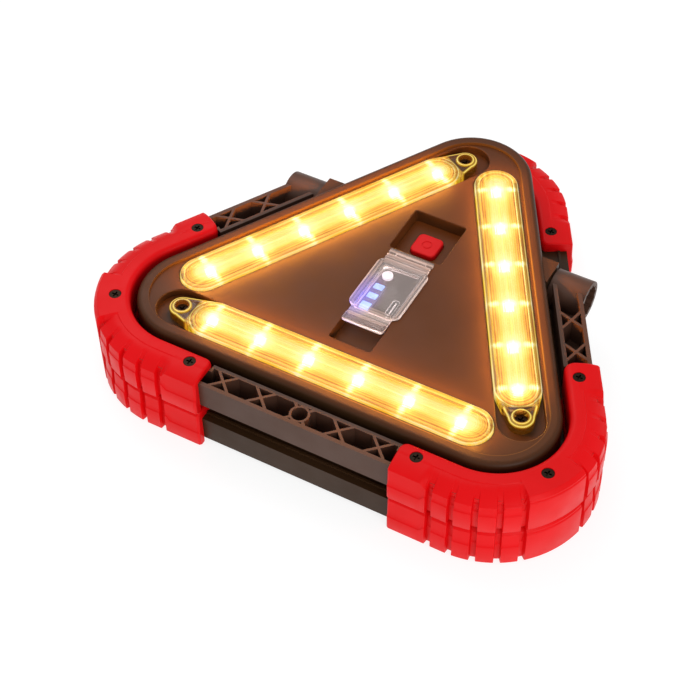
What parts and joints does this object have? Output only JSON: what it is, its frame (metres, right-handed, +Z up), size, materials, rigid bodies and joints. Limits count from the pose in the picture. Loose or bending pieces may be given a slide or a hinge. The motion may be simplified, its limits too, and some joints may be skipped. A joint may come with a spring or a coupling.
{
  "type": "warning triangle",
  "caption": "Rechargeable triangular warning lamp with amber light bars under clear lenses, rubber corner bumpers, a push button, a charging port cover and a swing-out stand.",
  "frame": {"origin": "middle of the bounding box, on the plane the lamp lies on", "axes": "+Z up through the face with the light bars, +Y towards the top corner, +X along the front edge to the right"},
  "size_m": [0.2172, 0.1996, 0.038],
  "materials": {
    "housing": "fine texture",
    "frame_plastic": "satin",
    "bumper_rubber": "satin",
    "lens_clear": "clear, fine ribs",
    "lens_frosted": "frosted",
    "cover_clear": "soft clear",
    "button_red": "satin",
    "gasket": "matt",
    "screw_steel": "blackened",
    "pivot_steel": "zinc plated",
    "circuit_board": "white solder mask",
    "board_green": "solder mask",
    "led_amber": "phosphor",
    "cob_yellow": "phosphor",
    "chip_black": "moulded",
    "port_metal": "nickel plated",
    "indicator_dark": "smoked",
    "indicator_blue": "lit",
    "indicator_white": "lit",
    "cell_wrap": "shrink wrap"
  },
  "bodies": {
    "lamp": {"front_housing": "housing", "rear_housing": "housing", "housing_gasket": "gasket", "housing_screws": "screw_steel", "lens_front": "lens_clear", "lens_right": "lens_clear", "lens_left": "lens_clear", "led_board_front": "circuit_board", "led_board_right": "circuit_board", "led_board_left": "circuit_board", "leds_front": "led_amber", "leds_right": "led_amber", "leds_left": "led_amber", "lens_screws": "screw_steel", "base_bumper_left": "bumper_rubber", "base_bumper_right": "bumper_rubber", "base_bumper_top": "bumper_rubber", "base_bumper_screws": "screw_steel", "pivot_bolts": "pivot_steel", "pivot_washers": "pivot_steel", "port_cover_anchor": "cover_clear", "indicator_window": "indicator_dark", "charge_bars": "indicator_blue", "status_led": "indicator_white", "usb_port": "port_metal", "port_board": "board_green", "main_board": "board_green", "tact_switch": "chip_black", "control_chips": "chip_black", "battery_cradle": "housing", "battery_cells": "cell_wrap", "work_light_lens": "lens_frosted", "work_light_board": "circuit_board", "work_light_strips": "cob_yellow"},
    "stand": {"stand_frame": "frame_plastic", "stand_bumper_left": "bumper_rubber", "stand_bumper_right": "bumper_rubber", "stand_bumper_screws": "screw_steel"},
    "button": {"power_button": "button_red"},
    "cover": {"port_cover": "cover_clear"}
  },
  "joints": [
    {"name": "stand_swing", "type": "hinge", "parent": "lamp", "child": "stand", "pos_m": [0, 0.0225, 0.026], "axis": [-1, 0, 0], "range_deg": [0, 180]},
    {"name": "button_press", "type": "slide", "parent": "lamp", "child": "button", "axis": [0, 0, -1], "range_m": [0, 0.001], "stiffness_N_per_m": 400},
    {"name": "cover_lift", "type": "hinge", "parent": "lamp", "child": "cover", "pos_m": [0, -0.002, 0.0373], "axis": [-1, 0, 0], "range_deg": [0, 110]}
  ]
}
